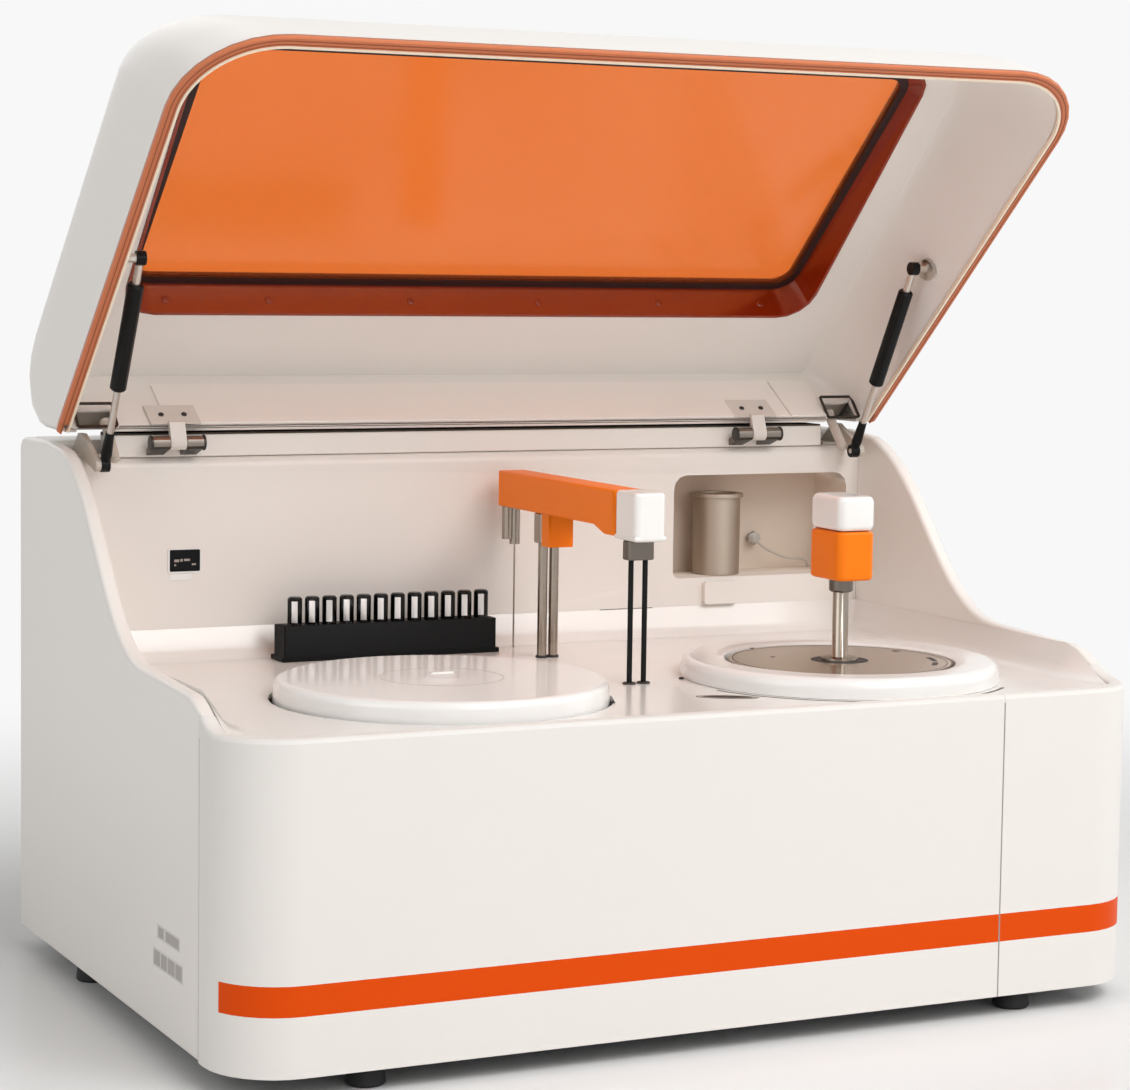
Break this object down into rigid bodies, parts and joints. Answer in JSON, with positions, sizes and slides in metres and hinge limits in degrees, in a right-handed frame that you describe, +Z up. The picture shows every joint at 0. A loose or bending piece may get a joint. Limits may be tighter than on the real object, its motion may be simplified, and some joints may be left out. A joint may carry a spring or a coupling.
{
  "type": "benchtop chemistry analyser",
  "caption": "Benchtop analyser: a white cabinet with an S-curved side, turntables, sampling arm, tube rack and mixing head under a large hinged lid with a tinted window and gas struts.",
  "frame": {"origin": "on the table, below the middle of the object's bounding box", "axes": "+X to the right seen from the front, +Y to the rear, +Z up; the lid is stored open"},
  "size_m": [0.86, 0.59, 0.8479],
  "materials": {
    "shell": "satin moulded white",
    "deck": "smooth white",
    "wall": "fine matt warm white",
    "liner": "matt beige",
    "sheet": "powder coated",
    "pan": "powder coated grey",
    "orange": "satin orange",
    "frame_orange": "glossy deep orange",
    "window": "clear tinted",
    "trim": "satin orange brown",
    "steel": "brushed",
    "chrome": "polished",
    "aluminium": "bead blasted",
    "black": "satin black",
    "black_metal": "satin black paint",
    "rubber": "matt",
    "grey": "matt grey",
    "board": "lacquered green"
  },
  "bodies": {
    "cabinet": {"base_pan": "pan", "left_side_panel": "shell", "right_side_panel": "shell", "front_panel": "shell", "front_right_panel": "shell", "top_deck": "deck", "back_wall": "wall", "rear_top_cover": "shell", "rear_panel": "sheet", "power_inlet": "black", "foot_front_left": "rubber", "foot_front_right": "rubber", "foot_rear_left": "rubber", "foot_rear_right": "rubber", "tray_drive": "aluminium", "reaction_ring": "shell", "reaction_hub": "aluminium", "arm_lift_unit": "aluminium", "status_window": "black", "wash_cylinder": "steel", "niche_hose": "grey", "power_supply": "aluminium", "control_board": "board", "photometer": "aluminium", "syringe_pump": "grey", "hinge_body_leaf_left": "steel", "hinge_body_leaf_right": "steel", "strut_bracket_left": "steel", "strut_bracket_right": "steel"},
    "lid": {"lid_shell": "shell", "lid_liner": "liner", "window_frame": "frame_orange", "lid_window": "window", "rim_trim": "trim", "hinge_lid_leaf_left": "steel", "hinge_lid_leaf_right": "steel", "strut_stud_left": "steel", "strut_stud_right": "steel"},
    "strut_rod_left": {"strut_rod_left": "chrome"},
    "strut_rod_right": {"strut_rod_right": "chrome"},
    "strut_tube_left": {"strut_tube_left": "black_metal"},
    "strut_tube_right": {"strut_tube_right": "black_metal"},
    "sample_rotor": {"sample_rotor": "grey"},
    "tray_cover": {"tray_cover": "shell"},
    "reaction_disc": {"reaction_disc": "aluminium"},
    "mixer_column": {"mixer_column": "steel"},
    "mixer_head": {"mixer_collar": "steel", "mixer_head": "orange", "mixer_cap": "shell"},
    "sampling_arm": {"arm_housing": "orange", "arm_cap": "shell", "probe_collar": "steel", "probe_rod_left": "black_metal", "probe_rod_right": "black_metal", "lift_posts": "steel", "needle_block": "steel"},
    "sample_rack": {"sample_rack": "black"},
    "power_switch": {"power_switch": "black"}
  },
  "joints": [
    {"name": "lid_hinge", "type": "hinge", "parent": "cabinet", "child": "lid", "pos_m": [0, 0.17, 0.48], "axis": [1, 0, 0], "range_deg": [0, 66]},
    {"name": "strut_pivot_left", "type": "hinge", "parent": "cabinet", "child": "strut_rod_left", "pos_m": [-0.392, 0.152, 0.4625], "axis": [1, 0, 0], "range_deg": [0, 68.8]},
    {"name": "strut_slide_left", "type": "slide", "parent": "strut_rod_left", "child": "strut_tube_left", "axis": [0, -0.4865, 0.8737], "range_m": [-0.0261, 0]},
    {"name": "strut_pivot_right", "type": "hinge", "parent": "cabinet", "child": "strut_rod_right", "pos_m": [0.392, 0.152, 0.4625], "axis": [1, 0, 0], "range_deg": [0, 68.8]},
    {"name": "strut_slide_right", "type": "slide", "parent": "strut_rod_right", "child": "strut_tube_right", "axis": [0, -0.4865, 0.8737], "range_m": [-0.0261, 0]},
    {"name": "tray_spin", "type": "hinge", "parent": "cabinet", "child": "sample_rotor", "pos_m": [-0.181, -0.1215, 0.264], "axis": [0, 0, 1], "continuous": true},
    {"name": "cover_lift", "type": "slide", "parent": "sample_rotor", "child": "tray_cover", "axis": [0, 0, 1], "range_m": [0, 0.04]},
    {"name": "reaction_spin", "type": "hinge", "parent": "cabinet", "child": "reaction_disc", "pos_m": [0.207, -0.13, 0.29], "axis": [0, 0, 1], "continuous": true},
    {"name": "mixer_turn", "type": "hinge", "parent": "cabinet", "child": "mixer_column", "pos_m": [0.207, -0.13, 0.318], "axis": [0, 0, 1], "range_deg": [-90, 90]},
    {"name": "mixer_lift", "type": "slide", "parent": "mixer_column", "child": "mixer_head", "axis": [0, 0, 1], "range_m": [-0.03, 0]},
    {"name": "arm_lift", "type": "slide", "parent": "cabinet", "child": "sampling_arm", "axis": [0, 0, 1], "range_m": [-0.04, 0]},
    {"name": "rack_lift", "type": "slide", "parent": "cabinet", "child": "sample_rack", "axis": [0, 0, 1], "range_m": [0, 0.08]},
    {"name": "switch_tilt", "type": "hinge", "parent": "cabinet", "child": "power_switch", "pos_m": [-0.3, 0.2905, 0.119], "axis": [1, 0, 0], "range_deg": [-20, 0]}
  ],
  "couplings": [
    {"joint": "strut_pivot_left", "follows": "lid_hinge", "ratio": 1.0393},
    {"joint": "strut_slide_left", "follows": "lid_hinge", "m_per_rad": -0.02242},
    {"joint": "strut_pivot_right", "follows": "lid_hinge", "ratio": 1.0393},
    {"joint": "strut_slide_right", "follows": "lid_hinge", "m_per_rad": -0.02242}
  ]
}
